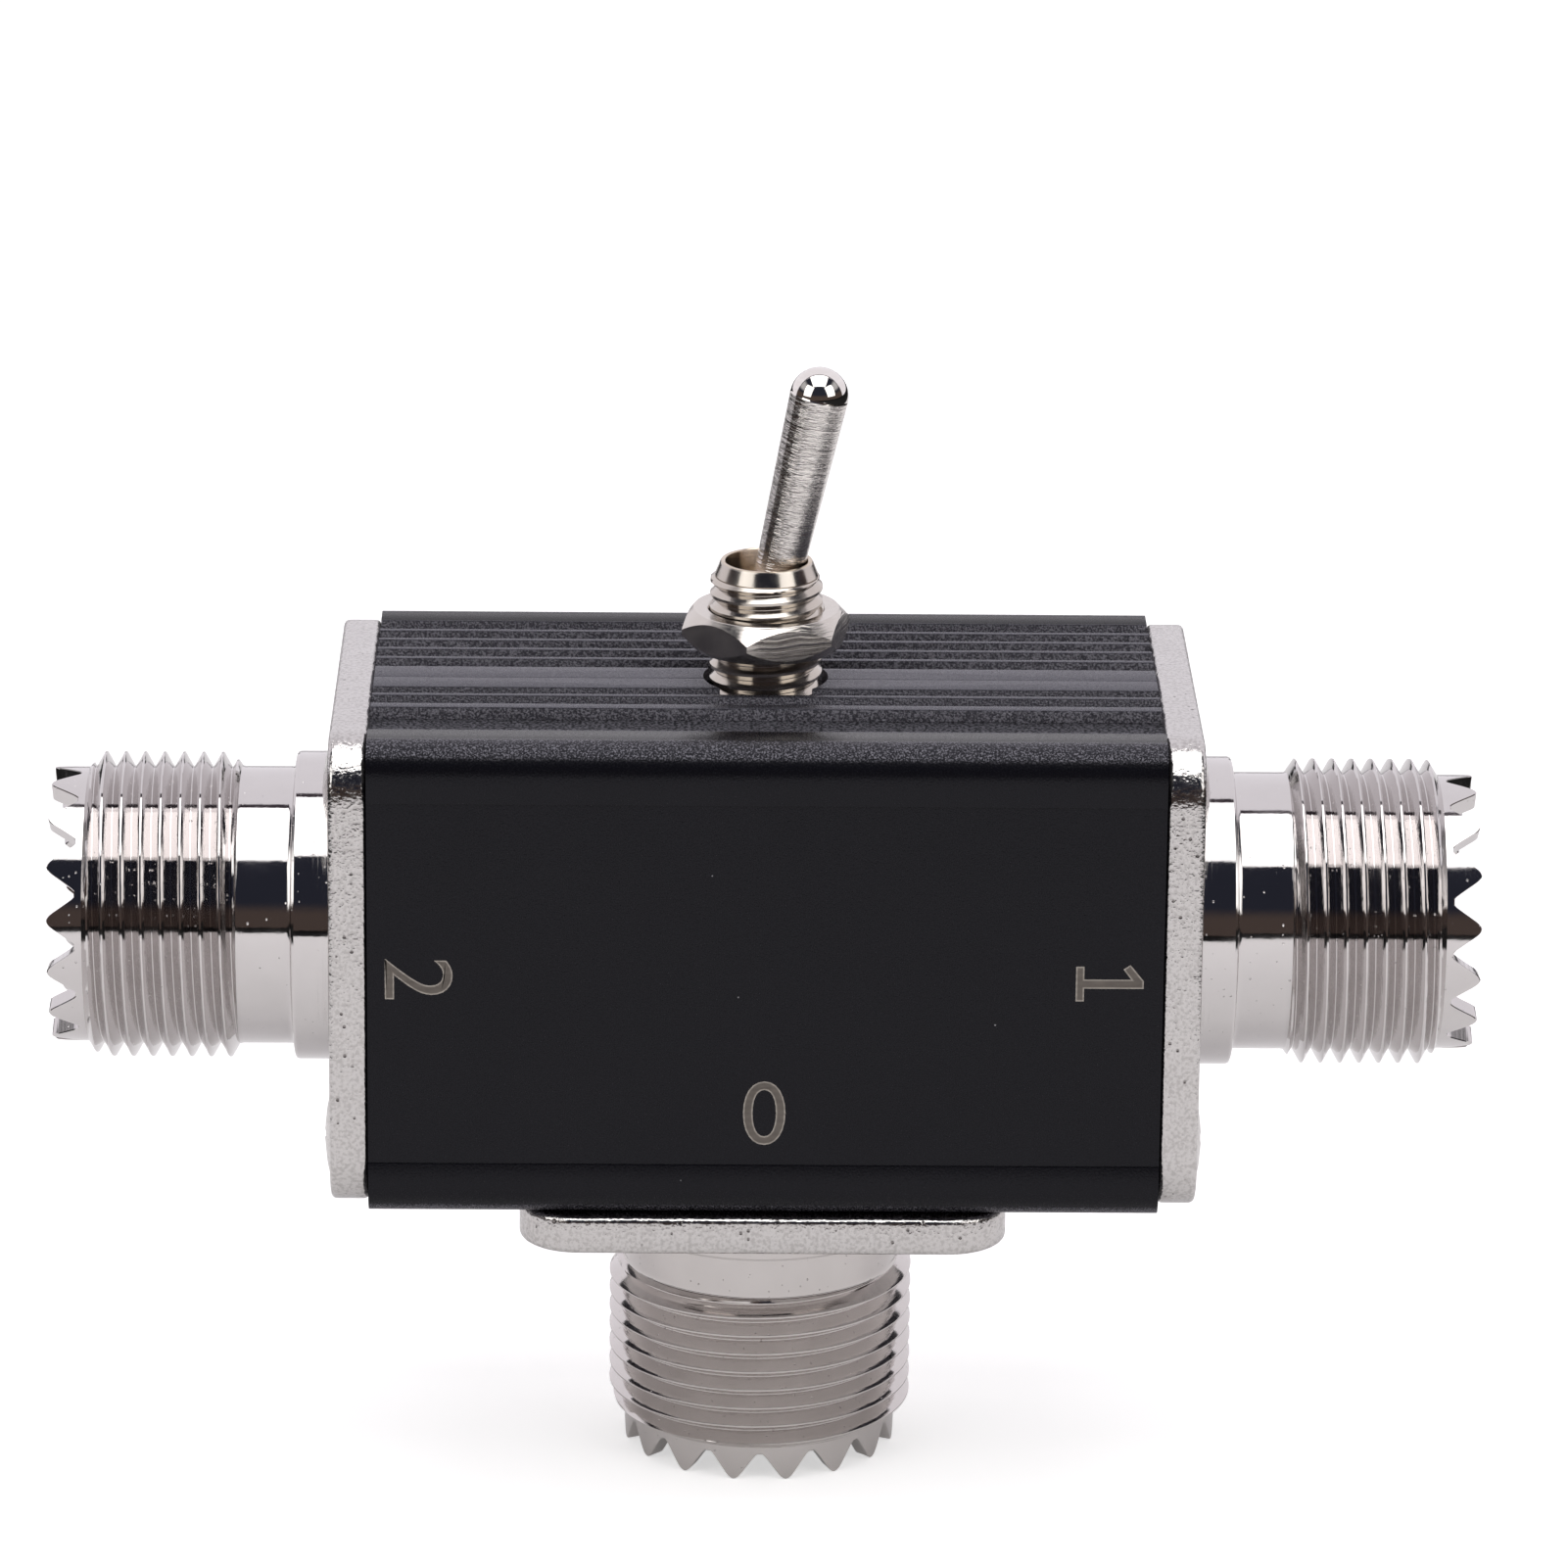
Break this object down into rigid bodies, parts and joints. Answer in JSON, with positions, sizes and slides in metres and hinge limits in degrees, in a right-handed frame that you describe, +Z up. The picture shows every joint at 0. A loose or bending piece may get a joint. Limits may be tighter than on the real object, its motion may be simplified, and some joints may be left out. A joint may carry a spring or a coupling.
{
  "type": "coaxial antenna switch",
  "caption": "Small black ribbed metal box with threaded coaxial sockets on both ends and underneath, and a toggle lever on top that connects the lower socket to either end.",
  "frame": {"origin": "bottom centre of the bounding box: the plane of the lower socket's teeth, on which the part stands, under the case's centre", "axes": "+X towards the antenna 1 socket (the right-hand end seen from the front), +Y towards the back of the case, +Z up along the toggle"},
  "size_m": [0.073, 0.025, 0.0578],
  "materials": {
    "case_black": "black anodised, satin",
    "socket_nickel": "nickel plated, cast flange and turned barrel",
    "insulator_white": "white, smooth",
    "contact_silver": "silver plated",
    "screw_nickel": "nickel plated",
    "tinned_wire": "tinned copper",
    "toggle_nickel": "nickel plated, turned",
    "toggle_chrome": "bright plated",
    "zinc_steel": "zinc plated",
    "spring_steel": "drawn wire",
    "base_plastic": "moulded"
  },
  "bodies": {
    "case": {"front_shell": "case_black", "rear_shell": "case_black", "antenna_1_socket_body": "socket_nickel", "antenna_1_insulator": "insulator_white", "antenna_1_centre_contact": "contact_silver", "antenna_1_flange_screws": "screw_nickel", "antenna_1_lead": "tinned_wire", "antenna_2_socket_body": "socket_nickel", "antenna_2_insulator": "insulator_white", "antenna_2_centre_contact": "contact_silver", "antenna_2_flange_screws": "screw_nickel", "antenna_2_lead": "tinned_wire", "radio_socket_body": "socket_nickel", "radio_insulator": "insulator_white", "radio_centre_contact": "contact_silver", "radio_flange_screws": "screw_nickel", "radio_lead": "tinned_wire", "switch_bushing": "toggle_nickel", "bushing_nut": "toggle_nickel", "lock_washer": "zinc_steel", "switch_frame": "zinc_steel", "switch_base": "base_plastic", "common_terminal": "contact_silver", "antenna_1_terminal": "contact_silver", "antenna_2_terminal": "contact_silver"},
    "lever": {"toggle_lever": "toggle_chrome", "plunger_spring": "spring_steel"},
    "plunger": {"contact_plunger": "contact_silver"},
    "rocker": {"rocker_contact": "contact_silver"}
  },
  "joints": [
    {"name": "lever_throw", "type": "hinge", "parent": "case", "child": "lever", "pos_m": [0, 0, 0.0442], "axis": [0, 1, 0], "range_deg": [-24, 0]},
    {"name": "rocker_tilt", "type": "hinge", "parent": "case", "child": "rocker", "pos_m": [0, 0, 0.03556], "axis": [0, 1, 0], "range_deg": [0, 12]},
    {"name": "plunger_slide", "type": "slide", "parent": "lever", "child": "plunger", "axis": [0.2079, 0, 0.9781], "range_m": [0, 0.0004], "stiffness_N_per_m": 300, "springref_m": -0.001, "deforming": ["plunger_spring"]}
  ],
  "couplings": [
    {"joint": "rocker_tilt", "follows": "lever_throw", "ratio": -0.5}
  ]
}
